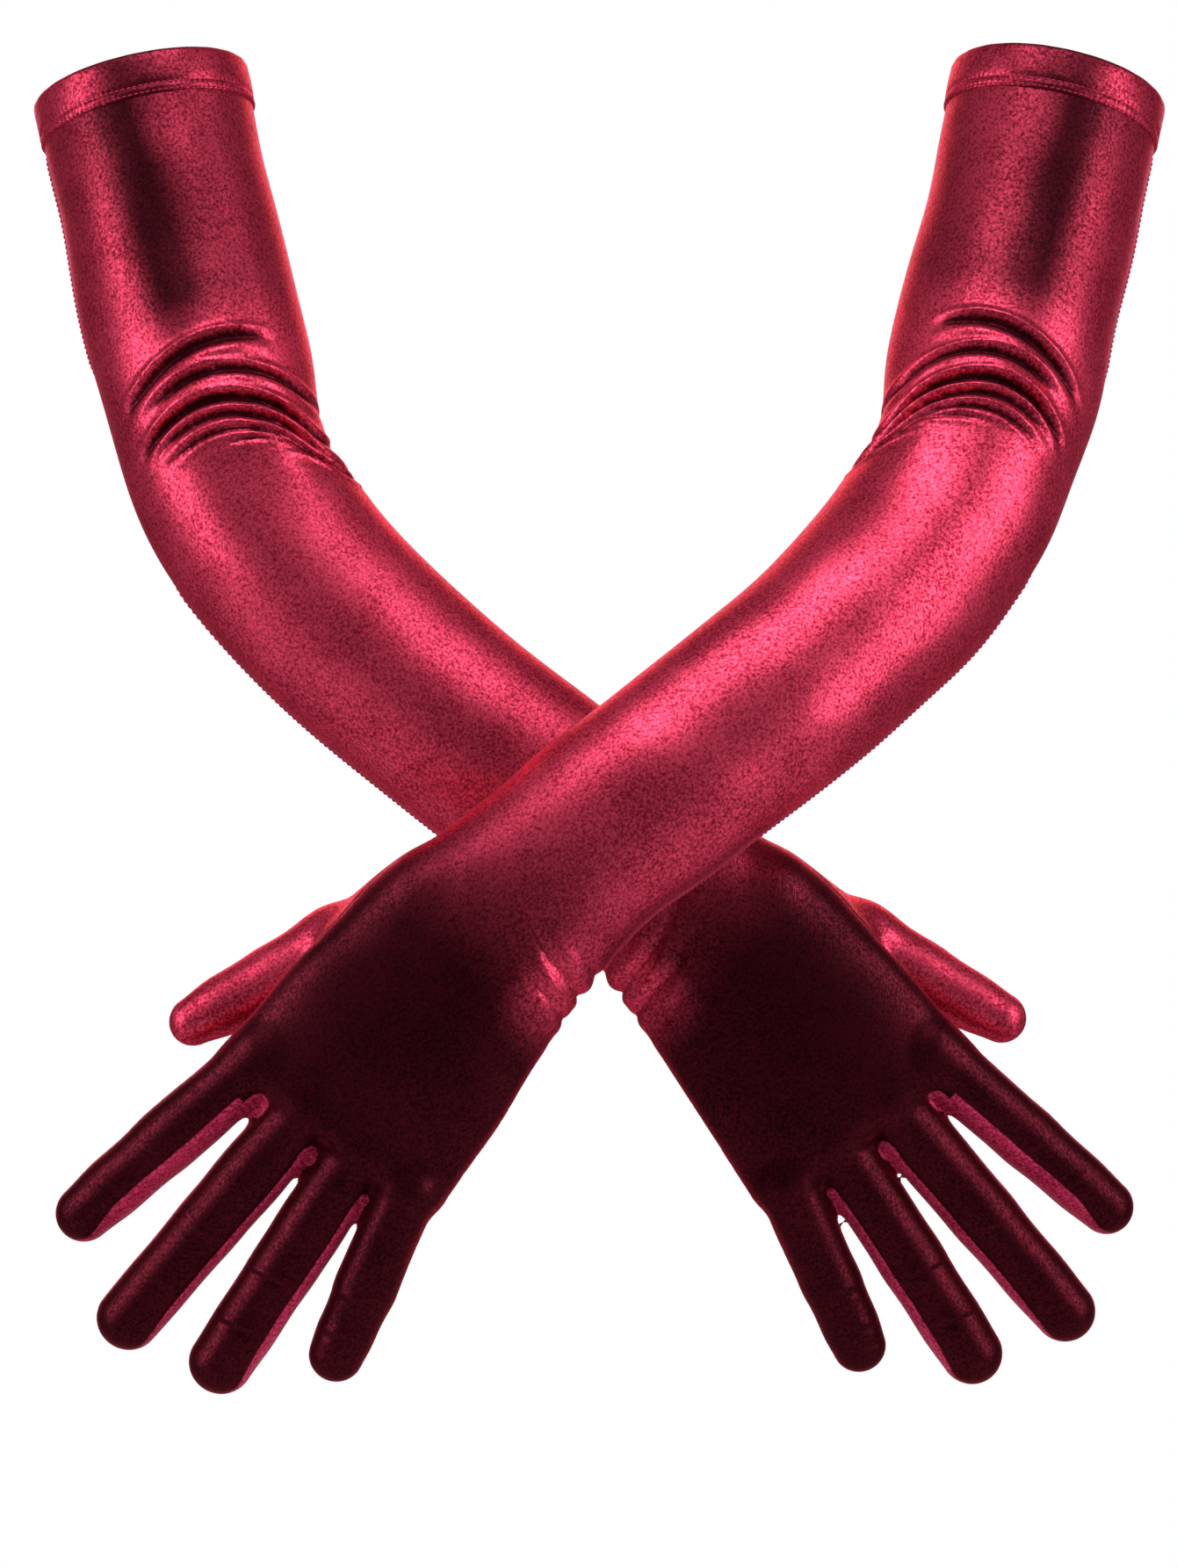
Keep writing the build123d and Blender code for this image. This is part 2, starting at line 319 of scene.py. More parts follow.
class Stall:
    """One finger or the thumb: a line from root to tip with a thickness along it."""

    def __init__(self, side, name):
        nodes = [n for n in frame["nodes"] if n.startswith(f"{side}_{name}_")]
        mesh = cad_mesh(*nodes)
        points = mesh[0]
        joint = f"{side}_thumb_swing" if name == "thumb" else f"{side}_{name}_curl"
        hinge = joint_place(joint)
        along = unit(points[np.linalg.norm(points - hinge, axis=1).argmax()] - hinge)
        for _ in range(4):
            reach = points @ along
            low, span = reach.min(), np.ptp(reach)
            cuts = []
            for share in (0.2, 0.7):
                origin = points.mean(0)
                origin = origin + along * (low + share * span - origin @ along)
                cuts.append(cut_ring(mesh, origin, along))
            along = unit(cuts[1][0] - cuts[0][0])
        low, self.length = (points @ along).min(), np.ptp(points @ along)
        self.name = name
        self.sign = 1 if side == "left" else -1
        self.along = along
        self.root = cuts[0][0] + along * (low - cuts[0][0] @ along)
        self.across, self.palm = across_and_depth(along)
        taper = (cuts[1][1] - cuts[0][1]) / 0.5
        self.root_radius = cuts[0][1] - 0.2 * taper
        self.tip_radius = self.root_radius + taper
        if name == "thumb":
            self.lean()

    def lean(self):
        """Brings the thumb nearer the index, as far as the photographed thumb is."""
        tip = self.root + self.along * self.length
        root = self.root - self.across * self.sign * THUMB_LEAN[0]
        tip = tip - self.across * self.sign * THUMB_LEAN[1]
        self.along = unit(tip - root)
        self.length = np.linalg.norm(tip - root)
        self.root = root
        self.across, self.palm = across_and_depth(self.along)
        self.root_radius += THUMB_FULLER[0]
        self.tip_radius += THUMB_FULLER[1]

    def radius(self, a):
        share = np.clip(a / self.length, 0, 1)
        r = self.root_radius + (self.tip_radius - self.root_radius) * share
        for knuckle, size in ((0.40, 0.35), (0.70, 0.22)):
            r = r + size * MM * bump(share - knuckle, 0.09)
        return r - 0.7 * MM * smoothstep(share, 0.72, 1.0)

    def place(self, p):
        """Distance from the root, and the offsets towards the thumb and towards the palm."""
        offset = p - self.root
        return offset @ self.along, self.sign * (offset @ self.across), offset @ self.palm

    def distance(self, placed):
        a, x, y = placed
        end = self.length - self.radius(np.array([self.length]))[0]
        held = np.clip(a, 0 if self.name == "thumb" else -14 * MM, end)
        return np.sqrt((a - held) ** 2 + x ** 2 + (y / 0.96) ** 2) - self.radius(held)


class Glove:
    """The smooth shape of one glove, as distances from its parts."""

    def __init__(self, side):
        self.side = side
        self.arm = Arm(side)
        self.fingers = [Stall(side, name) for name in FINGERS]
        self.thumb = Stall(side, "thumb")
        self.elbow = self.chord(joint_place(f"{side}_elbow"), HALF_ELBOW)
        self.wrist = self.chord(joint_place(f"{side}_wrist"), HALF_WRIST)
        s = self.arm.place(joint_place(f"{side}_wrist")[None])[0] + HEEL_PAST_WRIST
        self.heel = self.arm.outline(s, np.array([HEEL_ANGLE]), -HEEL_SUNK)[0]
        self.knots = [self.knot(i) for i in range(3)]

    def chord(self, joint, half):
        """Two points of the arm's line, half each way from a joint."""
        s = self.arm.place(joint[None])[0][0]
        return self.arm.look(np.array([s - half, s + half]))[:, :3]

    def along_chord(self, p, chord):
        step = chord[1] - chord[0]
        return (p - chord[0]) @ step / (step @ step)

    def knot(self, i):
        """The gathered end of the strip between two neighbouring fingers, on the hand's back."""
        one, other = self.fingers[i], self.fingers[i + 1]
        between = (one.root - one.across * one.sign * one.root_radius
                   + other.root + other.across * other.sign * other.root_radius) / 2
        point = between - (one.along + other.along) * 1.6 * MM - TOWARDS_PALM * 24 * MM
        point = point + one.across * one.sign * 1.6 * MM
        for _ in range(40):
            point = point + TOWARDS_PALM * 0.8 * self.distance(point[None])[0]
        return point

    def from_knot(self, p, i):
        """How far points are from a knot's middle, along it, across it and as a share of it."""
        along = unit(self.fingers[i].along + self.fingers[i + 1].along)
        across, depth = across_and_depth(along)
        offset = p - self.knots[i]
        u, v, w = offset @ along, offset @ across, offset @ depth
        return u, v, np.sqrt((u / 1.25) ** 2 + (v / 0.72) ** 2 + w ** 2) / KNOTS[i]

    def parts(self, p):
        """Columns of facts about points: places along the arm, thumb and fingers."""
        out = np.empty((len(p), COLUMNS))
        out[:, PLACE] = p
        placed = self.arm.place(p)
        out[:, S], out[:, X], out[:, Y] = placed[0] + placed[3], placed[1], placed[2]
        out[:, ARM] = self.arm.distance(placed)
        placed = self.thumb.place(p)
        out[:, THUMB_A], out[:, THUMB_X], out[:, THUMB_Y] = placed
        line = self.thumb.root - self.heel
        share = np.clip((p - self.heel) @ line / (line @ line), 0, 1)
        nearest = self.heel + share[:, None] * line
        pad = np.linalg.norm(p - nearest, axis=1) - PAD_RADIUS
        out[:, THUMB] = smooth_min(self.thumb.distance(placed), pad, 6 * MM)
        for i, finger in enumerate(self.fingers):
            placed = finger.place(p)
            first = FIRST_FINGER + 4 * i
            out[:, first] = finger.distance(placed)
            out[:, first + 1:first + 4] = np.stack(placed, axis=1)
        out[:, ELBOW_T] = self.along_chord(p, self.elbow)
        out[:, WRIST_T] = self.along_chord(p, self.wrist)
        return out

    def distance(self, p):
        facts = self.parts(p)
        d = facts[:, FIRST_FINGER]
        for i in (1, 2, 3):
            past = smoothstep(facts[:, FIRST_FINGER + 4 * i + 1], -2 * MM, 12 * MM)
            d = smooth_min(d, facts[:, FIRST_FINGER + 4 * i], (4.6 - 4.1 * past) * MM)
        web = 1 - smoothstep(facts[:, THUMB_A], 0, 10 * MM)
        hand = smooth_min(facts[:, ARM], facts[:, THUMB], (4 + 6 * web) * MM)
        return smooth_min(hand, d, 4 * MM)

    def corner(self):
        """Lowest and highest corner of a box round the glove."""
        boxes = [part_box(n) for n in frame["nodes"] if n.startswith(self.side + "_")]
        low = np.array([b[0] for b in boxes]).min(0) - 16 * MM
        high = np.array([b[1] for b in boxes]).max(0) + 16 * MM
        return low, high


# ---------------------------------------------------------------- drawing the skin
def grid_of(shape):
    return np.stack(np.meshgrid(*[np.arange(n) for n in shape], indexing="ij"), -1).reshape(-1, 3)


def skin_mesh(glove):
    """Vertices and triangles of the surface where glove.distance is 0."""
    low, high = glove.corner()
    blocks = np.ceil((high - low) / (GRID * BLOCK)).astype(int)
    centres = grid_of(blocks)
    coarse = glove.distance(low + (centres + 0.5) * GRID * BLOCK)
    value = np.sign(coarse).reshape(blocks)
    for axis in range(3):
        value = np.repeat(value, BLOCK, axis)
    value = np.pad(value, ((0, 1), (0, 1), (0, 1)), constant_values=1.0)
    near = np.abs(coarse) < GRID * BLOCK
    index = (centres[near][:, None] * BLOCK + grid_of([BLOCK + 1] * 3)[None]).reshape(-1, 3)
    flat = np.unique(np.ravel_multi_index(index.T, value.shape))
    index = np.stack(np.unravel_index(flat, value.shape), -1)
    value.ravel()[flat] = glove.distance(low + index * GRID)
    return surface_net(value, low)


def surface_net(value, low):
    """One vertex in each grid cell that the surface passes through, joined by triangles."""
    sign = value < 0
    shape = np.array(value.shape) - 1
    corners = grid_of([2, 2, 2])
    count = np.zeros(shape, np.int8)
    for i, j, k in corners:
        count += sign[i:i + shape[0], j:j + shape[1], k:k + shape[2]]
    mixed = (count > 0) & (count < 8)
    cell = np.argwhere(mixed)
    number = np.full(shape, -1)
    number[mixed] = np.arange(len(cell))
    total = np.zeros((len(cell), 3))
    hits = np.zeros(len(cell))
    for a in corners:
        for axis in np.flatnonzero(a == 0):
            b = a.copy()
            b[axis] = 1
            va, vb = value[tuple((cell + a).T)], value[tuple((cell + b).T)]
            crossing = (va < 0) != (vb < 0)
            place = np.tile(a.astype(float), (len(cell), 1))
            place[:, axis] += np.where(crossing, va / np.where(crossing, va - vb, 1), 0)
            total += place * crossing[:, None]
            hits += crossing
    points = low + (cell + total / hits[:, None]) * GRID
    quads = np.concatenate([net_quads(sign, number, shape, axis) for axis in range(3)])
    quads = quads[(quads >= 0).all(1)]
    a, b, c, d = points[quads.T]
    short = np.linalg.norm(a - c, axis=1) < np.linalg.norm(b - d, axis=1)
    first = np.where(short[:, None], quads[:, [0, 1, 2]], quads[:, [0, 1, 3]])
    second = np.where(short[:, None], quads[:, [0, 2, 3]], quads[:, [1, 2, 3]])
    return points, np.concatenate([first, second])


def net_quads(sign, number, shape, axis):
    u, v = (axis + 1) % 3, (axis + 2) % 3
    here, there = [slice(None)] * 3, [slice(None)] * 3
    here[axis], there[axis] = slice(0, -1), slice(1, None)
    at = np.argwhere(sign[tuple(here)] != sign[tuple(there)])
    inner = (at[:, u] > 0) & (at[:, v] > 0) & (at[:, u] < shape[u]) & (at[:, v] < shape[v])
    at = at[inner]
    quad = []
    for du, dv in ((0, 0), (-1, 0), (-1, -1), (0, -1)):
        c = at.copy()
        c[:, u] += du
        c[:, v] += dv
        quad.append(number[tuple(c.T)])
    quad = np.stack(quad, 1)
    turned = ~sign[tuple(at.T)]
    quad[turned] = quad[turned][:, ::-1]
    return quad


def slope_of(distance, p, step=0.05 * MM):
    """The gradient of a distance, by differences."""
    out = np.empty_like(p)
    here = distance(p)
    for axis in range(3):
        move = np.zeros(3)
        move[axis] = step
        out[:, axis] = (distance(p + move) - here) / step
    return out, here


def settle(distance, p):
    """Moves points onto the surface where distance is 0."""
    slope, here = slope_of(distance, p)
    steep = np.maximum((slope ** 2).sum(1, keepdims=True), 0.2)
    p = p - np.clip(here[:, None] / steep, -1 * MM, 1 * MM) * slope
    return p - np.clip(distance(p)[:, None] / steep, -1 * MM, 1 * MM) * slope, slope


def relax(p, triangles, share=0.5):
    """Moves each vertex part of the way to the middle of its neighbours."""
    edges = np.concatenate([triangles[:, [0, 1]], triangles[:, [1, 2]], triangles[:, [2, 0]]])
    total = np.zeros_like(p)
    for axis in range(3):
        total[:, axis] = np.bincount(edges[:, 0], p[edges[:, 1], axis], len(p))
        total[:, axis] += np.bincount(edges[:, 1], p[edges[:, 0], axis], len(p))
    count = np.bincount(edges.ravel(), minlength=len(p))[:, None]
    return p + share * (total / np.maximum(count, 1) - p)


def vertex_normals(p, triangles):
    a, b, c = p[triangles.T]
    face = np.cross(b - a, c - a)
    out = np.zeros_like(p)
    for corner in range(3):
        for axis in range(3):
            out[:, axis] += np.bincount(triangles[:, corner], face[:, axis], len(p))
    return out / np.maximum(np.linalg.norm(out, axis=1, keepdims=True), 1e-12)


# ---------------------------------------------------------------- cutting the skin into pieces
class Skin:
    """Vertices with their facts, triangles, and marks that say which side of each cut they are."""

    def __init__(self, glove):
        self.glove = glove
        p, faces = skin_mesh(glove)
        for _ in range(2):
            p = relax(p, faces)
            p, _ = settle(glove.distance, p)
        self.facts, self.faces, self.marks = p, faces, {}
        a, b, where = self.edges()
        self.divide(a, b, np.full(len(a), 0.5), where, np.ones(len(a), bool))
        p, _ = settle(glove.distance, self.facts)
        self.facts = glove.parts(p)

    def edges(self):
        pairs = np.stack([self.faces, np.roll(self.faces, -1, axis=1)], -1)
        count = len(self.facts)
        key, where = np.unique(pairs.min(-1) * count + pairs.max(-1), return_inverse=True)
        return key // count, key % count, where.reshape(self.faces.shape)

    def divide(self, a, b, share, where, chosen):
        """Adds a vertex on each chosen edge and divides the triangles that have it."""
        made = np.full(len(a), -1)
        made[chosen] = len(self.facts) + np.arange(chosen.sum())
        t = share[chosen][:, None]
        fresh = self.facts[a[chosen]] * (1 - t) + self.facts[b[chosen]] * t
        self.facts = np.concatenate([self.facts, fresh])
        new = made[where]
        split = (new >= 0).sum(1)
        out, parent = [self.faces[split == 0]], [np.flatnonzero(split == 0)]
        patterns = {1: ((0, 3, 2), (3, 1, 2)),
                    2: ((3, 1, 4), (0, 3, 4), (0, 4, 2)),
                    3: ((0, 3, 5), (3, 1, 4), (5, 4, 2), (3, 4, 5))}
        for n, triangles in patterns.items():
            which = np.flatnonzero(split == n)
            has = new[which] >= 0
            turn = has.argmax(1) if n == 1 else (has.argmin(1) + 1) % 3
            turn = (turn if n < 3 else np.zeros(len(which), int))[:, None]
            turn = (turn + np.arange(3)) % 3
            corners = np.hstack([np.take_along_axis(self.faces[which], turn, 1),
                                 np.take_along_axis(new[which], turn, 1)])
            for triangle in triangles:
                out.append(corners[:, triangle])
                parent.append(which)
        self.faces = np.concatenate(out)
        parent = np.concatenate(parent)
        self.marks = {name: mark[parent] for name, mark in self.marks.items()}
        return parent

    def cut(self, name, value, chosen=None):
        """Divides the chosen triangles where value is 0, and marks the side where it is above."""
        value = value.copy()
        if chosen is None:
            chosen = np.ones(len(self.faces), bool)
        a, b, where = self.edges()
        for _ in range(2):
            va, vb = value[a], value[b]
            crossing = va * vb < 0
            share = np.where(crossing, va / np.where(crossing, va - vb, 1), 0.5)
            active = np.zeros(len(a), bool)
            active[where[chosen].ravel()] = True
            value[a[crossing & active & (share < 0.12)]] = 0
            value[b[crossing & active & (share > 0.88)]] = 0
        crossing = (value[a] * value[b] < 0) & active
        self.divide(a, b, share, where, crossing)
        value = np.concatenate([value, np.zeros(crossing.sum())])
        self.marks[name] = value[self.faces].sum(1) > 0

    def drop(self, mark):
        """Deletes the marked triangles and the vertices that only they had."""
        keep = ~mark
        self.faces = self.faces[keep]
        self.marks = {name: m[keep] for name, m in self.marks.items()}
        used, faces = np.unique(self.faces, return_inverse=True)
        self.faces = faces.reshape(-1, 3)
        self.facts = self.facts[used]

    def column(self, c):
        return self.facts[:, c]

    def of_faces(self, c):
        return self.facts[self.faces, c].mean(1)


def finger_facts(skin, i):
    first = FIRST_FINGER + 4 * i
    return [skin.column(first + k) for k in range(4)]


def strip_value(skin, i, where, half, towards):
    """Above 0 outside the strip's edge on a finger's side, towards the back or the palm."""
    _, a, x, y = finger_facts(skin, i)
    finger = skin.glove.fingers[i]
    side = -1 if where == "inner" else 1
    angle = np.degrees(np.arctan2(y, np.maximum(x * side, 1e-6)))
    share = np.clip(a / finger.length, 0, 1)
    half = half * (1 - 0.5 * smoothstep(share, 0.7, 1.0))
    half = half * (0.55 + 0.45 * smoothstep(share, 0.0, 0.3)) if towards > 0 else half
    return towards * angle - half


def cut_pieces(skin):
    """Cuts the skin along its seams and joints; returns a piece's name for each triangle."""
    glove = skin.glove
    arm = glove.arm
    skin.cut("open", HEM_ROWS[0] - skin.column(S))
    skin.drop(skin.marks["open"])
    middle = (arm.place(joint_place(f"{glove.side}_elbow")[None])[0][0]
              + arm.place(joint_place(f"{glove.side}_wrist")[None])[0][0]) / 2
    for name, column in (("elbow", ELBOW_T), ("wrist", WRIST_T)):
        for end, share in (("in", 0.0), ("out", 1.0)):
            value = skin.column(column) - share
            high = skin.column(S) > middle
            value = np.where(high, 1.0, value) if name == "elbow" else np.where(high, value, -1.0)
            skin.cut(f"{name}_{end}", value)
    fingers = [FIRST_FINGER + 4 * i for i in range(4)]
    for i in range(3):
        value = skin.column(fingers[i]) - skin.column(fingers[i + 1])
        near = skin.marks["wrist_out"] & (
            np.max([skin.of_faces(f + 1) for f in fingers], 0) > NEAR_FINGERS)
        skin.cut(f"between_{i}", value, near)
    skin.cut("thumb", skin.column(THUMB_A) - THUMB_CUT,
             skin.marks["wrist_out"] & (skin.of_faces(THUMB) < skin.of_faces(ARM) + 2 * MM))
    thumb_is_nearest = skin.of_faces(THUMB) < np.minimum(
        skin.of_faces(ARM), np.min([skin.of_faces(f) for f in fingers], 0))
    skin.marks["is_thumb"] = skin.marks["thumb"] & thumb_is_nearest & skin.marks["wrist_out"]
    for i in range(4):
        mine = nearest_finger(skin) == i
        mine &= skin.marks["wrist_out"] & ~skin.marks["is_thumb"]
        skin.cut(f"finger_{i}", skin.column(fingers[i] + 1) - FINGER_CUT, mine)
        mine = (nearest_finger(skin) == i) & skin.marks["wrist_out"] & ~skin.marks["is_thumb"]
        skin.marks[f"is_finger_{i}"] = skin.marks[f"finger_{i}"] & mine
    for i in range(4):
        chosen = skin.marks[f"is_finger_{i}"]
        name = FINGERS[i]
        skin.cut(f"palm_{i}", finger_facts(skin, i)[3], chosen)
        for where in ("outer", "inner"):
            if (name, where) in STRIPS:
                for half, towards in zip(STRIPS[name, where], (-1, 1)):
                    side = -1 if where == "inner" else 1
                    chosen = skin.marks[f"is_finger_{i}"]
                    chosen = chosen & (side * skin.of_faces(FIRST_FINGER + 4 * i + 2) > 0)
                    value = strip_value(skin, i, where, half, towards)
                    skin.cut(f"strip_{name}_{where}_{towards}", value, chosen)
    skin.cut("thumb_palm", skin.column(THUMB_Y), skin.marks["is_thumb"])
    others = ~skin.marks["is_thumb"] & ~np.any([skin.marks[f"is_finger_{i}"] for i in range(4)], 0)
    skin.cut("palm", skin.column(Y), others)
    for i in range(3):
        share = glove.from_knot(skin.column(PLACE), i)[2]
        skin.cut(f"knot_{i}", (1 - share) * KNOTS[i])
    return name_pieces(skin)


def nearest_finger(skin):
    return np.argmin([skin.of_faces(FIRST_FINGER + 4 * i) for i in range(4)], 0)


def name_pieces(skin):
    marks = skin.marks
    zone = np.where(marks["elbow_in"], 1, 0)
    zone = np.where(marks["elbow_out"], 2, zone)
    zone = np.where(marks["wrist_in"], 3, zone)
    zone = np.where(marks["wrist_out"], 4, zone)
    names = np.array(["upper_sleeve", "elbow", "forearm", "wrist", "hand"])[zone].astype(object)
    names += np.where(marks["palm"], "_palm", "_back").astype(object)
    for i, finger in enumerate(FINGERS):
        mine = marks[f"is_finger_{i}"]
        names[mine & marks[f"palm_{i}"]] = f"{finger}_palm"
        names[mine & ~marks[f"palm_{i}"]] = f"{finger}_back"
        for where in ("outer", "inner"):
            if (finger, where) not in STRIPS:
                continue
            side = -1 if where == "inner" else 1
            strip = mine & (side * skin.of_faces(FIRST_FINGER + 4 * i + 2) > 0)
            strip &= ~marks[f"strip_{finger}_{where}_-1"] & ~marks[f"strip_{finger}_{where}_1"]
            names[strip] = f"{finger}_fourchette_{where}"
    for i in range(3):
        back = ~marks["palm"] & marks[f"knot_{i}"] & (zone == 4)
        names[back] = f"{FINGERS[i]}_fourchette_inner"
    names[marks["is_thumb"] & marks["thumb_palm"]] = "thumb_palm"
    names[marks["is_thumb"] & ~marks["thumb_palm"]] = "thumb_back"
    return names


# ---------------------------------------------------------------- folds and seams
def across_chord(glove, p, joint, chord):
    """How far points are past a joint, and towards the thumb side, in mm."""
    along = unit(chord[1] - chord[0])
    across, _ = across_and_depth(along)
    offset = (p - joint) / MM
    return offset @ along, glove.arm.sign * (offset @ across)


def elbow_folds(skin):
    """Height of the slack cloth's folds across the bend of the elbow."""
    glove = skin.glove
    joint = joint_place(f"{glove.side}_elbow")
    past, over = across_chord(glove, skin.column(PLACE), joint, glove.elbow)
    palm = smoothstep(skin.column(Y) / MM, -8, 8)
    height = np.zeros(len(past))
    for n, (crown, centre, bow, start, end, deep, wide) in enumerate(ELBOW_FOLDS):
        shift = palm * (2.2 * math.sin(2.1 * n) + 1.5)
        line = crown + shift + bow * ((over - centre) / 33) ** 2
        fade = smoothstep(over, end + palm * 6, end + 15 + palm * 6)
        fade *= smoothstep(-over, -start, -start + 14) * (1 - 0.25 * palm)
        v = (past - line) / wide
        roll = 0.62 * bump(v + 0.75, 0.50) - bump(v - 0.32, 0.62) + 0.34 * bump(v - 1.5, 0.8)
        height += deep * fade * roll
    inner = smoothstep(over, 20, 33)
    height = height * (1 - 0.6 * inner) * smoothstep(60 - np.abs(past), 0, 20)
    return height * MM


def elbow_pinch(skin):
    """The inside of the bend, which the slack cloth leaves narrower than the arm."""
    joint = joint_place(f"{skin.glove.side}_elbow")
    past, over = across_chord(skin.glove, skin.column(PLACE), joint, skin.glove.elbow)
    return -4.2 * MM * bump(past - 7, 17) * smoothstep(over, 12, 31)


def wrist_folds(skin):
    """Puckers on the little finger's side of the wrist, where the hand turns outwards."""
    glove = skin.glove
    joint = joint_place(f"{glove.side}_wrist")
    past, over = across_chord(glove, skin.column(PLACE), joint, glove.wrist)
    outer = smoothstep(-over, 10, 27)
    lobes = 2.5 * (np.abs(np.cos(np.pi * (past - 1.5 + 0.12 * over) / 8.2)) ** 0.8 - 0.62)
    lobes = lobes * outer * bump(past - 2, 11)
    slant = past + 0.35 * over
    crease = -0.7 * bump(slant + 6, 1.8) * smoothstep(-over, -8, 8)
    crease -= 0.5 * bump(slant - 3, 1.5) * smoothstep(-over, -2, 12)
    return (lobes + crease * bump(past, 16)) * MM


def finger_folds(skin):
    """Small creases across the backs of the finger joints and gathers at the finger roots."""
    height = np.zeros(len(skin.facts))
    depths = {"index": (0.25, 0.2), "middle": (0.3, 0.3), "ring": (0.75, 0.7),
              "little": (0.3, 0.3)}
    for i, name in enumerate(FINGERS):
        d, a, x, y = finger_facts(skin, i)
        finger = skin.glove.fingers[i]
        on = bump(d, 2.5 * MM) * smoothstep(a, 4 * MM, 14 * MM)
        for share, deep in zip((0.43, 0.68), depths[name]):
            slant = a - share * finger.length - 0.28 * x
            v = slant / (1.5 * MM)
            fade = bump(x - 1.5 * MM, 6 * MM) * (0.4 + 0.6 * smoothstep(-y, 0, 4 * MM))
            height += deep * MM * on * fade * (bump(v + 0.8, 0.7) - bump(v - 0.4, 0.7))
        inside = smoothstep(y, 2 * MM, 6 * MM)
        for share in (0.02, 0.42, 0.7):
            v = (a - share * finger.length) / (1.4 * MM)
            height -= 0.3 * MM * on * inside * bump(v, 1.0)
    for i in range(3):
        u, v, share = skin.glove.from_knot(skin.column(PLACE), i)
        slant = (u + 0.5 * v) / MM
        height += 0.42 * MM * np.cos(2 * np.pi * slant / 2.4) * bump(share, 0.95)
        height -= 0.30 * MM * bump(share - 1.1, 0.22)
    return height


def clear_of_hem(s):
    """0 at the hem and 1 from a little way below it."""
    return smoothstep(s, HEM_HEIGHT, 40 * MM)


def soft_slack(places):
    """Low, wide unevenness of a close sleeve, so that its outline isn't ruled."""
    p = places / MM
    wave = np.sin(p @ [0.071, 0.052, 0.093]) + np.sin(p @ [-0.049, 0.101, 0.064] + 1.7)
    wave += 0.6 * np.sin(p @ [0.13, -0.09, 0.151] + 0.4)
    return 0.22 * MM * wave


def fold_skin(skin, names):
    """Moves the skin's vertices out into folds and in at seams."""
    height = elbow_folds(skin) + wrist_folds(skin) + finger_folds(skin) + elbow_pinch(skin)
    height += soft_slack(skin.column(PLACE)) * clear_of_hem(skin.column(S))
    p = skin.facts[:, PLACE].copy()
    normals = vertex_normals(p, skin.faces)
    code = {name: i for i, name in enumerate(sorted(set(names)))}
    number = np.array([code[n] for n in names])
    least = np.full(len(p), 999)
    most = np.full(len(p), -1)
    for corner in range(3):
        np.minimum.at(least, skin.faces[:, corner], number)
        np.maximum.at(most, skin.faces[:, corner], number)
    seam = (least != most) & is_sewn(least, most, sorted(set(names)))
    groove = np.where(seam, -0.35 * MM, 0.0)
    return p + normals * (height + groove)[:, None]


def is_sewn(least, most, order):
    """True at vertices where two pieces of cloth meet in a seam, not only at a joint."""
    cloth = []
    for name in order:
        finger = name.split("_")[0] if name.split("_")[0] in FINGERS + ("thumb",) else "arm"
        side = "strip" if "fourchette" in name else name.split("_")[-1]
        cloth.append((finger if side == "strip" else "", side))
    different = np.array([[a != b for b in cloth] for a in cloth])
    return different[np.clip(least, 0, None), most]


# ---------------------------------------------------------------- making pieces
def new_piece(name, points, faces, normals=None, weave=None, painted_shade=None):
    mesh = bpy.data.meshes.new(name)
    mesh.from_pydata(points.tolist(), [], faces if isinstance(faces, list) else faces.tolist())
    mesh.update()
    piece = bpy.data.objects.new(name, mesh)
    bpy.context.scene.collection.objects.link(piece)
    mesh.polygons.foreach_set("use_smooth", [True] * len(mesh.polygons))
    if weave is not None:
        layer = mesh.uv_layers.new(name="weave")
        corner = np.empty(len(mesh.loops), int)
        mesh.loops.foreach_get("vertex_index", corner)
        layer.data.foreach_set("uv", weave[corner].ravel())
    # The painted light and shade per vertex, by which the satin's colour is mixed.
    if painted_shade is not None:
        shade_layer = mesh.attributes.new("painted_shade", "FLOAT", "POINT")
        shade_layer.data.foreach_set("value", painted_shade.astype(np.float32))
    if normals is not None:
        mesh.normals_split_custom_set_from_vertices(normals.tolist())
    return piece


def weave_of(skin, name):
    """Flat places on the cloth, in cm, that the weave follows."""
    part = name.split("_")[0]
    if part in FINGERS:
        _, a, x, y = finger_facts(skin, FINGERS.index(part))
        radius = skin.glove.fingers[FINGERS.index(part)].root_radius
    elif part == "thumb":
        a, x, y = (skin.column(c) for c in (THUMB_A, THUMB_X, THUMB_Y))
        radius = skin.glove.thumb.root_radius
    else:
        a, x, y = (skin.column(c) for c in (S, X, Y))
        radius = 32 * MM
    if name.endswith("outer"):
        angle = math.pi - np.arctan2(y, -x)
    elif name.endswith("inner"):
        angle = np.arctan2(y, -x)
    elif name.endswith("palm"):
        angle = np.abs(np.arctan2(y, x))
    else:
        angle = -np.abs(np.arctan2(y, x))
    return np.stack([angle * radius, a], axis=1) * 100


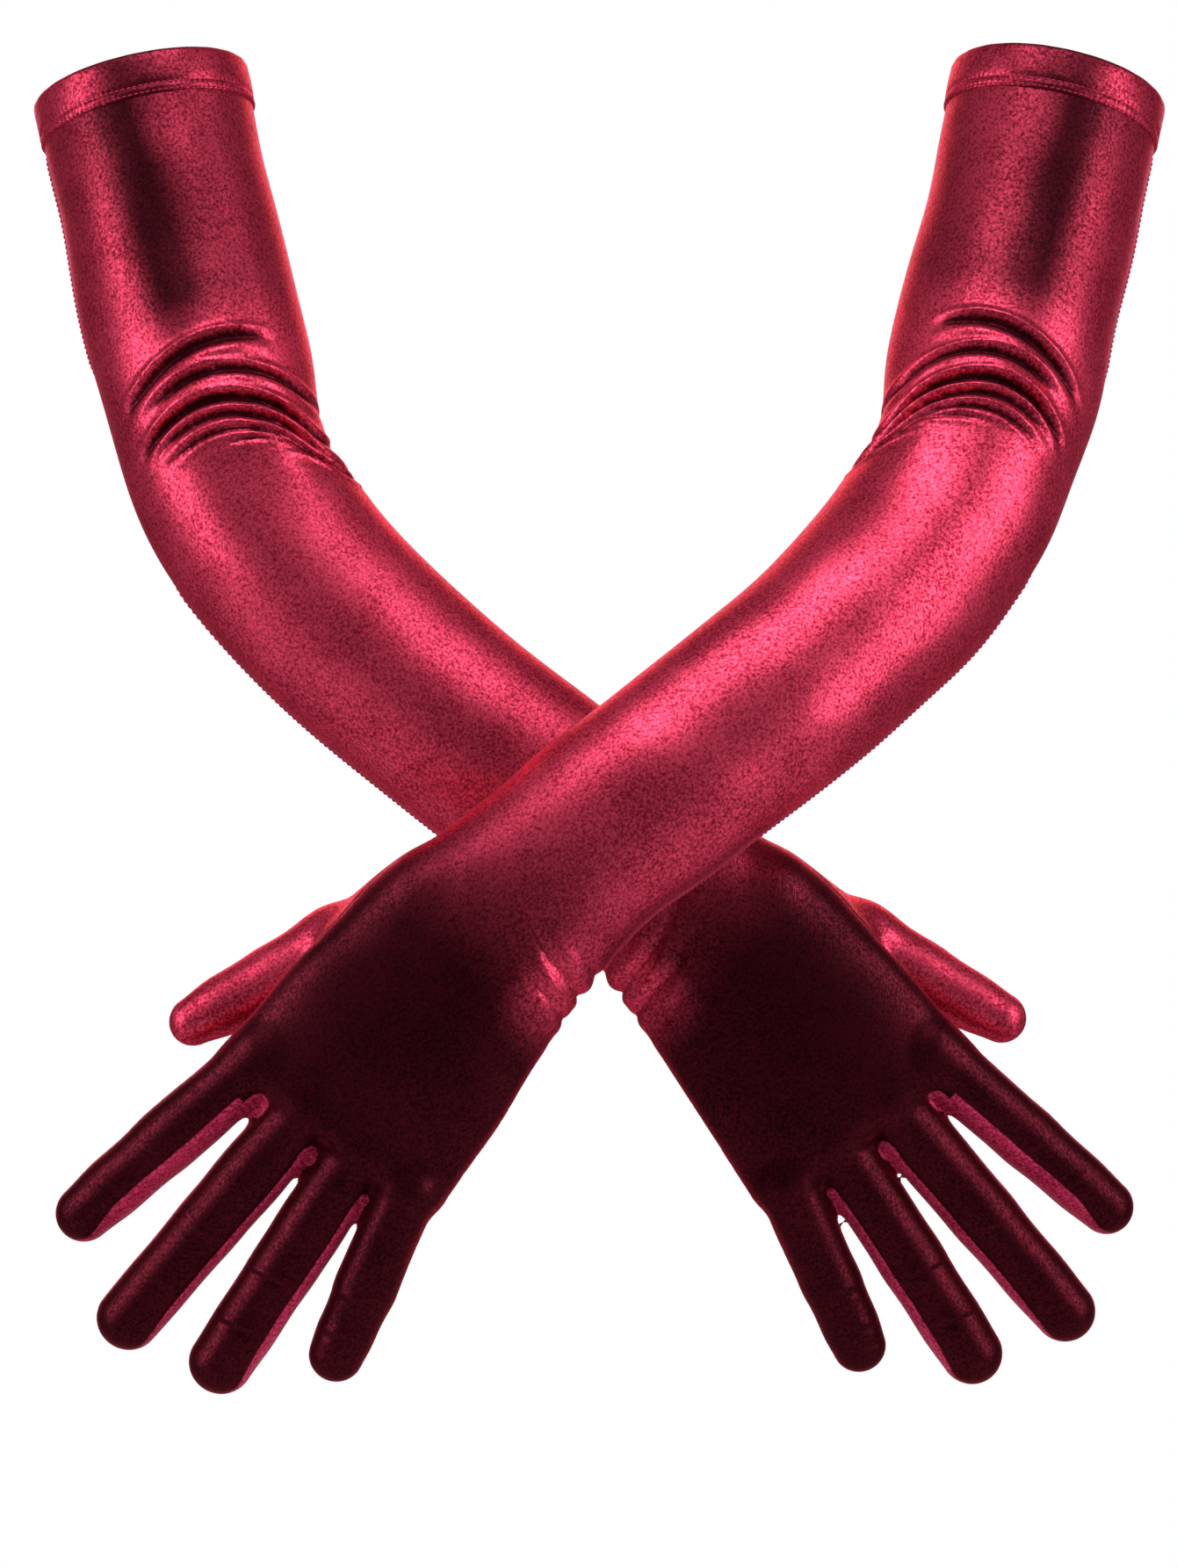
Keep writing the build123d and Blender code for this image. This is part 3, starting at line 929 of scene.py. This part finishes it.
def painted_shade_of(skin, folds):
    """Painted light and shade on the satin, per vertex: 0 lit, 1 near-black painted shade."""
    glove = skin.glove
    own = [finger_facts(skin, i) for i in range(4)]
    on_finger = smoothstep(np.max([facts[1] for facts in own], 0), 0, 12 * MM)
    nearest = np.argmin([facts[0] for facts in own], 0)
    down = np.choose(nearest, [facts[3] for facts in own])
    down = skin.column(Y) * (1 - on_finger) + down * on_finger
    back = smoothstep(-down / MM, -6, 7)
    hand = smoothstep(skin.column(WRIST_T), -1.3, 1.7)
    joint = joint_place(f"{glove.side}_elbow")
    past, over = across_chord(glove, skin.column(PLACE), joint, glove.elbow)
    # Painted shade: a dark streak down the middle of the upper sleeve's back, deeper towards the thumb side, and a
    # fainter one down the forearm's little-finger side before the wrist.
    sleeve = 0.98 * bump(over - 1, 19) + 0.3 * smoothstep(over, 8, 24)
    sleeve = sleeve * smoothstep(-past, 20, 44)
    fore = 0.35 * bump(over + 9, 10) * smoothstep(past, 60, 130)
    # Painted shade: the backs of the hand and fingers near black, with the sleeve streaks; the palm side a little
    # darker throughout.
    painted_shade = 0.06 + back * np.maximum(hand * 0.98, sleeve + fore) + (1 - back) * 0.25
    # Painted highlight on the puckers at the little finger's side of the wrist.
    past, over = across_chord(glove, skin.column(PLACE), joint_place(f"{glove.side}_wrist"),
                              glove.wrist)
    painted_shade *= 1 - smoothstep(-over, 12, 24) * bump(past - 3, 14)
    # Painted highlight: lighter where the cloth turns edge-on to the camera, towards the outline.
    normals = vertex_normals(skin.column(PLACE), skin.faces)
    steep = 1 - np.abs(normals @ TOWARDS_PALM)
    edge = smoothstep(steep - 0.4 * on_finger, 0.35, 0.85)
    painted_shade *= 1 - 0.45 * edge
    # Painted shade in the valleys of the elbow folds.
    painted_shade = np.maximum(painted_shade, 0.98 * smoothstep(-folds / MM, 0.05, 0.75))
    # Painted highlight: the thumb and the pad under it lighter than the lit satin.
    thumb = smoothstep(np.minimum(skin.column(ARM), 9 * MM) - skin.column(THUMB), -1 * MM, 2 * MM)
    return painted_shade * (1 - thumb) - 0.15 * thumb


def thick(points, faces, normals, weave, painted_shade, cloth):
    """A second layer inside the first, joined to it round the open edges."""
    pairs = np.stack([faces, np.roll(faces, -1, axis=1)], -1).reshape(-1, 2)
    low, high = pairs.min(1), pairs.max(1)
    _, first, times = np.unique(low * len(points) + high, return_index=True, return_counts=True)
    a, b = pairs[first[times == 1]].T
    n = len(points)
    rim = np.concatenate([np.stack([b, a, a + n], 1), np.stack([b, a + n, b + n], 1)])
    return (np.concatenate([points, points - normals * cloth]),
            np.concatenate([faces, faces[:, ::-1] + n, rim]),
            np.concatenate([normals, -normals]), np.concatenate([weave, weave]),
            np.concatenate([painted_shade, painted_shade]))


def panel(skin, name, shown, points, normals, names, painted_shade):
    """One piece of the skin, as its own object."""
    faces = skin.faces[names == name]
    used, faces = np.unique(faces, return_inverse=True)
    faces = faces.reshape(-1, 3)
    weave = weave_of(skin, name)[used]
    made = (points[used], faces, normals[used], weave, painted_shade[used])
    if name.startswith("upper_sleeve"):
        made = thick(*made, CLOTH)
    piece = new_piece(f"{skin.glove.side}_{shown}", *made)
    a, b, c = points[used][faces.T]
    area = 0.5 * np.linalg.norm(np.cross(b - a, c - a), axis=1).sum()
    return piece, area, weave[:, 1].max() / 100 - weave[:, 1].min() / 100


def sweep(line, radius, around):
    """A tube along a line of points, whose radius may change from point to point."""
    line = np.asarray(line)
    ahead = np.roll(line, -1, 0) - np.roll(line, 1, 0)
    ahead[0], ahead[-1] = line[1] - line[0], line[-1] - line[-2]
    along = unit(ahead)
    side = unit(np.cross(along, [0.31, 0.82, 0.48]))
    other = np.cross(along, side)
    turn = np.arange(around) * 2 * math.pi / around
    radius = np.broadcast_to(radius, len(line))
    ring = side[:, None] * np.cos(turn)[None, :, None] + other[:, None] * np.sin(turn)[None, :, None]
    points = (line[:, None] + ring * radius[:, None, None]).reshape(-1, 3)
    count = len(line)
    faces = []
    for i in range(count - 1):
        for k in range(around):
            a, b = i * around + k, i * around + (k + 1) % around
            c, d = (i + 1) * around + (k + 1) % around, (i + 1) * around + k
            faces.append([a, b, c, d])
    faces.append(list(range(around))[::-1])
    faces.append([(count - 1) * around + k for k in range(around)])
    return points, faces


# ---------------------------------------------------------------- hem and stitches
def hem_band(glove):
    """The turned and doubled hem: a close band whose edge is rolled over.

    Its profile is in mm: the distance from the hem's edge, and how far it is off the arm.
    """
    around = 4 * STITCHES
    turns = np.arange(around) * 2 * math.pi / around
    profile = [(13.9, -0.15), (13.9, 0.35), (13.6, 0.62), (13.2, 0.50), (12.7, 0.78), (12.0, 0.80),
               (11.4, 0.76), (10.9, 0.50), (10.4, 0.80), (9.0, 0.95), (7.0, 1.00), (5.0, 1.0),
               (3.0, 0.98), (1.4, 0.92), (0.6, 0.72), (0.2, 0.35), (0.05, -0.05), (0.2, -0.45),
               (0.7, -0.78), (1.6, -0.92), (4.0, -0.95), (7.0, -0.95), (10.0, -0.9), (12.6, -0.9),
               (13.4, -0.8), (13.8, -0.5)]
    points = []
    for s, proud in profile:
        dimple = sum(bump(s - row / MM, 0.45) for row in HEM_ROWS)
        pucker = 0.16 * np.cos(turns * STITCHES) * dimple + 0.10 * np.sin(turns * 5 + s * 0.2)
        pucker = pucker + 0.05 * np.sin(turns * 23 + 1.3 * s)
        points.append(glove.arm.outline(np.full(around, s * MM), turns, (proud + pucker) * MM))
    points = np.concatenate(points)
    count = len(profile)
    i, k = np.meshgrid(np.arange(count), np.arange(around), indexing="ij")
    j, m = (i + 1) % count, (k + 1) % around
    faces = np.stack([i * around + k, i * around + m, j * around + m, j * around + k], -1)
    faces = faces.reshape(-1, 4)
    if glove.arm.sign < 0:
        faces = faces[:, ::-1]
    s_of = np.repeat([step[0] for step in profile], around)
    weave = np.stack([np.tile(np.abs(turns - math.pi), count) * 3.2, s_of * 0.1], 1)
    # Painted shade: a dark streak down the back of the band, the side that faces the camera.
    painted_shade = 0.12 + 0.8 * bump(np.tile(turns, count) - 1.5 * math.pi, 0.62)
    return new_piece(f"{glove.side}_hem_band_turned", points, faces, weave=weave, painted_shade=painted_shade)


def hem_stitches(glove):
    """Two rows of short raised stitches round the hem."""
    all_points, all_faces, first = [], [], 0
    for row in HEM_ROWS:
        for n in range(STITCHES):
            middle = (n + 0.5) * 2 * math.pi / STITCHES
            half = 0.33 * 2 * math.pi / STITCHES
            angle = middle + np.linspace(-half, half, 7)
            proud = (0.42 + 0.34 * np.cos(np.linspace(-1.45, 1.45, 7))) * MM
            line = glove.arm.outline(np.full(7, row), angle, proud)
            radius = 0.26 * MM * np.array([0.5, 0.85, 1, 1, 1, 0.85, 0.5])
            points, faces = sweep(line, radius, 6)
            all_points.append(points)
            all_faces += [[v + first for v in f] for f in faces]
            first += len(points)
    return new_piece(f"{glove.side}_hem_coverstitch", np.concatenate(all_points), all_faces)


def seam_thread(glove, name, low, high):
    """The overlocked side seam: a low ridge of thread loops along the little finger's side."""
    s = np.arange(low, high, 0.45 * MM)
    beat = s / (1.7 * MM) * 2 * math.pi
    angle = np.full(len(s), math.pi)
    flat = glove.arm.outline(s, angle)
    proud = soft_slack(flat) * clear_of_hem(s) + (0.02 + 0.10 * np.cos(beat)) * MM
    line = glove.arm.outline(s, angle, proud)
    taper = 0.1 + 0.9 * smoothstep(np.minimum(s - low, high - s), 0, 5 * MM)
    points, faces = sweep(line, taper * (0.40 + 0.11 * np.cos(beat)) * MM, 10)
    return new_piece(f"{glove.side}_{name}", points, faces)


# ---------------------------------------------------------------- materials
class Shading:
    """A material and its nodes, each made and linked with one call."""

    def __init__(self, name):
        self.material = bpy.data.materials.new(name)
        self.material.use_nodes = True
        self.nodes = self.material.node_tree.nodes
        self.links = self.material.node_tree.links
        self.shader = self.nodes["Principled BSDF"]

    def noise(self, scale, detail, rough, vector):
        node = self.nodes.new("ShaderNodeTexNoise")
        node.inputs["Scale"].default_value = scale
        node.inputs["Detail"].default_value = detail
        node.inputs["Roughness"].default_value = rough
        self.links.new(vector, node.inputs["Vector"])
        return node.outputs["Fac"]

    def ramp(self, value, low, high):
        """Colour from low to high, each given as its place on the ramp and its colour."""
        node = self.nodes.new("ShaderNodeValToRGB")
        for stop, (place, colour) in zip(node.color_ramp.elements, (low, high)):
            stop.position = place
            stop.color = (*colour, 1)
        self.links.new(value, node.inputs["Fac"])
        return node.outputs["Color"]

    def maths(self, kind, a, b):
        node = self.nodes.new("ShaderNodeMath")
        node.operation = kind
        for socket, value in zip(node.inputs, (a, b)):
            if isinstance(value, (int, float)):
                socket.default_value = value
            else:
                self.links.new(value, socket)
        return node.outputs[0]

    def colour(self, source):
        self.links.new(source, self.shader.inputs["Base Color"])

    def relief(self, height, deep):
        node = self.nodes.new("ShaderNodeBump")
        node.inputs["Strength"].default_value = 0.5
        node.inputs["Distance"].default_value = deep
        self.links.new(height, node.inputs["Height"])
        self.links.new(node.outputs["Normal"], self.shader.inputs["Normal"])

    def settings(self, values):
        for socket, value in values.items():
            self.shader.inputs[socket].default_value = value


def twill(made):
    """The satin's fine diagonal ribs, laid along the cut of each panel."""
    weave = made.nodes.new("ShaderNodeUVMap")
    weave.uv_map = "weave"
    stretch = made.nodes.new("ShaderNodeMapping")
    stretch.inputs["Scale"].default_value = (1.0, 0.8, 1.0)
    made.links.new(weave.outputs["UV"], stretch.inputs["Vector"])
    ribs = made.nodes.new("ShaderNodeTexWave")
    ribs.bands_direction = "DIAGONAL"
    ribs.inputs["Scale"].default_value = 9.0
    ribs.inputs["Distortion"].default_value = 1.5
    ribs.inputs["Detail"].default_value = 1.0
    made.links.new(stretch.outputs["Vector"], ribs.inputs["Vector"])
    return ribs.outputs["Fac"]


def by_painted_shade(made, bright, dark):
    """Mixes a lit and a painted shaded colour by the painted light and shade attribute."""
    shade_layer = made.nodes.new("ShaderNodeAttribute")
    shade_layer.attribute_name = "painted_shade"
    mix = made.nodes.new("ShaderNodeMix")
    mix.data_type = "RGBA"
    made.links.new(shade_layer.outputs["Fac"], mix.inputs["Factor"])
    made.links.new(bright, mix.inputs[6])
    made.links.new(dark, mix.inputs[7])
    return mix.outputs[2]


def shine(made, speckle, gloss):
    """The bright floats are smoother than the ground."""
    rough = made.nodes.new("ShaderNodeMapRange")
    rough.inputs["From Min"].default_value = 0.35
    rough.inputs["From Max"].default_value = 0.65
    rough.inputs["To Min"].default_value = gloss + 0.10
    rough.inputs["To Max"].default_value = gloss - 0.05
    made.links.new(speckle, rough.inputs["Value"])
    made.links.new(rough.outputs["Result"], made.shader.inputs["Roughness"])


def satin(name, bright, dark, sheen_tint, gloss=0.36, metal=0.8, sheen=0.5):
    """Stretch satin: fine bright floats in a dark ground, with a velvety edge, its colour mixed from a lit to a
    painted shaded tone.
    """
    made = Shading(name)
    place = made.nodes.new("ShaderNodeTexCoord").outputs["Object"]
    grain = made.noise(1100.0, 2.0, 0.55, place)
    fine = made.noise(3000.0, 1.0, 0.5, place)
    cloudy = made.noise(55.0, 3.0, 0.5, place)
    speckle = made.maths("ADD", made.maths("MULTIPLY", grain, 0.8),
                         made.maths("MULTIPLY", fine, 0.2))
    clouds = made.maths("MULTIPLY", made.maths("SUBTRACT", cloudy, 0.5), 0.22)
    tone = made.maths("ADD", speckle, clouds)
    mixed = [made.ramp(tone, (0.36, low), (0.64, high)) for low, high in (bright, dark)]
    made.colour(by_painted_shade(made, *mixed))
    shine(made, speckle, gloss)
    made.relief(made.maths("ADD", speckle, made.maths("MULTIPLY", twill(made), 0.18)), 0.16 * MM)
    made.settings({"Metallic": metal, "Sheen Weight": sheen, "Sheen Roughness": 0.28,
                   "Sheen Tint": (*sheen_tint, 1), "Specular Tint": (*sheen_tint, 1),
                   "Specular IOR Level": 0.3})
    return made.material


def thread(name, colour):
    """Spun sewing thread."""
    made = Shading(name)
    place = made.nodes.new("ShaderNodeTexCoord").outputs["Object"]
    twist = made.noise(2600.0, 2.0, 0.5, place)
    hollow = tuple(0.45 * c for c in colour)
    made.colour(made.ramp(twist, (0.35, hollow), (0.65, colour)))
    made.relief(twist, 0.05 * MM)
    made.settings({"Roughness": 0.6, "Specular IOR Level": 0.2,
                   "Specular Tint": (1.0, 0.3, 0.45, 1)})
    return made.material


# The first pair of colours is the satin where lit, the second a near-black painted shade; each pair runs from
# ground to float.
SATIN = satin("wine_satin", ((0.24, 0.008, 0.024), (0.88, 0.072, 0.150)),
              ((0.018, 0.0020, 0.004), (0.075, 0.006, 0.012)), (0.95, 0.12, 0.22), sheen=0.7)
# A lit copy of the satin for the strips between the fingers: its paler colours, and shaded pair nearly as pale as
# the lit one, are painted light; its lower metal and stronger sheen are its finish.
LIT_STRIP_SATIN = satin("lit_strip_satin", ((0.32, 0.008, 0.045), (0.95, 0.07, 0.20)),
                    ((0.26, 0.006, 0.035), (0.85, 0.055, 0.16)), (1.0, 0.16, 0.32),
                    gloss=0.42, metal=0.15, sheen=0.9)
THREAD = thread("wine_thread", (0.56, 0.03, 0.085))


def finish_piece(piece, material, slot, body, *replaced):
    piece.data.materials.append(material)
    if isinstance(body, str):
        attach(piece, body)
    else:
        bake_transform(piece)
    if replaced:
        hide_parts(*replaced)


def make_glove(side):
    glove = Glove(side)
    skin = Skin(glove)
    names = cut_pieces(skin)
    points = fold_skin(skin, names)
    normals = vertex_normals(points, skin.faces)
    painted_shade = painted_shade_of(skin, elbow_folds(skin))
    own = {n for n in frame["nodes"] if n.startswith(side + "_")}
    bodies = {"upper_sleeve": f"{side}_upper", "forearm": f"{side}_forearm", "hand": f"{side}_hand",
              "elbow": (f"{side}_upper", f"{side}_forearm", *glove.elbow),
              "wrist": (f"{side}_forearm", f"{side}_hand", *glove.wrist)}
    for finger in glove.fingers:
        bodies[finger.name] = (f"{side}_hand", f"{side}_{finger.name}",
                               finger.root + finger.along * FINGER_CUT,
                               finger.root + finger.along * FINGER_BEND)
    bodies["thumb"] = (f"{side}_hand", f"{side}_thumb",
                       glove.thumb.root + glove.thumb.along * THUMB_CUT,
                       glove.thumb.root + glove.thumb.along * THUMB_BEND)
    strips = {}
    for name in sorted(set(names)):
        part = "upper_sleeve" if name.startswith("upper") else name.split("_")[0]
        is_strip = "fourchette" in name
        piece, area, length = panel(skin, name, name + ("_strip" if is_strip else "_panel"),
                                    points, normals, names, painted_shade)
        replaced = [n for n in (f"{side}_{name}",) if n in own]
        if name == "elbow_back":
            replaced.append(f"{side}_elbow_gathers")
        if name == "wrist_back":
            replaced.append(f"{side}_wrist_gathers")
        if name == "hand_back":
            replaced.append(f"{side}_knuckle_folds")
        # The strips take the lit copy of the satin, whose paler colour is painted light.
        material, slot = (LIT_STRIP_SATIN, "fourchette_satin") if is_strip else (SATIN, "satin")
        finish_piece(piece, material, slot, bodies[part], *replaced)
        if is_strip:
            strips.setdefault(part, []).append(piece)
    finish_piece(hem_band(glove), SATIN, "satin", f"{side}_upper", f"{side}_hem_band")
    finish_piece(hem_stitches(glove), THREAD, "thread", f"{side}_upper", f"{side}_hem_stitching")
    elbow = glove.arm.place(glove.elbow)[0]
    wrist = glove.arm.place(glove.wrist)[0]
    for name, low, high in (("upper_sleeve_seam", 14.5 * MM, elbow[0] - 3 * MM),
                            ("forearm_seam", elbow[1] + 3 * MM, wrist[0] - 2 * MM)):
        body = f"{side}_upper" if name.startswith("upper") else f"{side}_forearm"
        ridge = seam_thread(glove, name + "_overlock", low, high)
        finish_piece(ridge, THREAD, "thread", body, f"{side}_{name}")


for side in ("right", "left"):
    make_glove(side)


# ---------------------------------------------------------------- camera, light and floor
def add_light(name, place, aim, size, power, size_y):
    light = bpy.data.lights.new(name, "AREA")
    light.shape = "RECTANGLE"
    light.size = size
    light.size_y = size_y
    light.energy = power
    lamp = bpy.data.objects.new(name, light)
    lamp.location = place
    lamp.rotation_euler = (Vector(aim) - Vector(place)).to_track_quat("-Z", "Y").to_euler()
    bpy.context.scene.collection.objects.link(lamp)


def add_camera():
    low, high = np.array(cad_box[0]), np.array(cad_box[1])
    middle = (low + high) / 2
    camera = bpy.data.objects.new("camera", bpy.data.cameras.new("camera"))
    bpy.context.scene.collection.objects.link(camera)
    camera.location = (middle[0] + CAMERA_ASIDE, -CAMERA_DISTANCE, middle[2] + CAMERA_DOWN)
    camera.rotation_euler = (math.pi / 2, 0, 0)
    camera.data.sensor_width = 36
    camera.data.lens = CAMERA_LENS
    bpy.context.scene.camera = camera


def pale_floor():
    """A plain pale floor that is as white as the wall to the camera."""
    material = bpy.data.materials.new("pale_floor")
    material.use_nodes = True
    nodes, links = material.node_tree.nodes, material.node_tree.links
    shader = nodes["Principled BSDF"]
    shader.inputs["Base Color"].default_value = (0.55, 0.55, 0.55, 1)
    shader.inputs["Roughness"].default_value = 0.9
    glow = nodes.new("ShaderNodeEmission")
    glow.inputs["Color"].default_value = (0.86, 0.86, 0.87, 1)
    path = nodes.new("ShaderNodeLightPath")
    share = nodes.new("ShaderNodeMath")
    share.operation = "MULTIPLY"
    share.inputs[1].default_value = 0.85
    links.new(path.outputs["Is Camera Ray"], share.inputs[0])
    mix = nodes.new("ShaderNodeMixShader")
    links.new(share.outputs[0], mix.inputs["Fac"])
    links.new(shader.outputs["BSDF"], mix.inputs[1])
    links.new(glow.outputs["Emission"], mix.inputs[2])
    links.new(mix.outputs["Shader"], nodes["Material Output"].inputs["Surface"])
    return material


def add_room():
    bpy.context.scene.view_settings.view_transform = "Standard"
    world = bpy.data.worlds.new("studio")
    world.use_nodes = True
    nodes, links = world.node_tree.nodes, world.node_tree.links
    shade = nodes["Background"]
    shade.inputs["Color"].default_value = (0.9, 0.9, 0.92, 1)
    shade.inputs["Strength"].default_value = 0.16
    white = nodes.new("ShaderNodeBackground")
    white.inputs["Color"].default_value = (1, 1, 1, 1)
    white.inputs["Strength"].default_value = 1.0
    path = nodes.new("ShaderNodeLightPath")
    mix = nodes.new("ShaderNodeMixShader")
    links.new(path.outputs["Is Camera Ray"], mix.inputs["Fac"])
    links.new(shade.outputs["Background"], mix.inputs[1])
    links.new(white.outputs["Background"], mix.inputs[2])
    links.new(mix.outputs["Shader"], nodes["World Output"].inputs["Surface"])
    bpy.context.scene.world = world
    low, _ = cad_box
    corners = 96
    turns = np.arange(corners) * 2 * math.pi / corners
    level = np.full(corners, low[2] - FLOOR_BELOW)
    ring = np.stack([FLOOR_RADIUS * np.cos(turns), FLOOR_RADIUS * np.sin(turns), level], 1)
    floor = new_piece("floor", ring, [list(range(corners))])
    floor.data.materials.append(pale_floor())


add_camera()
add_room()
add_light("overhead", (0.0, -0.65, 1.2), (0, 0, 0.02), 1.2, 15, 0.8)
add_light("left_side", (-1.2, -0.5, 0.25), (0, 0, 0), 0.5, 11, 1.2)
add_light("right_side", (1.2, -0.5, 0.25), (0, 0, 0), 0.5, 11, 1.2)
add_light("behind", (0.0, 1.3, 0.5), (0, 0, 0), 1.6, 9, 0.8)
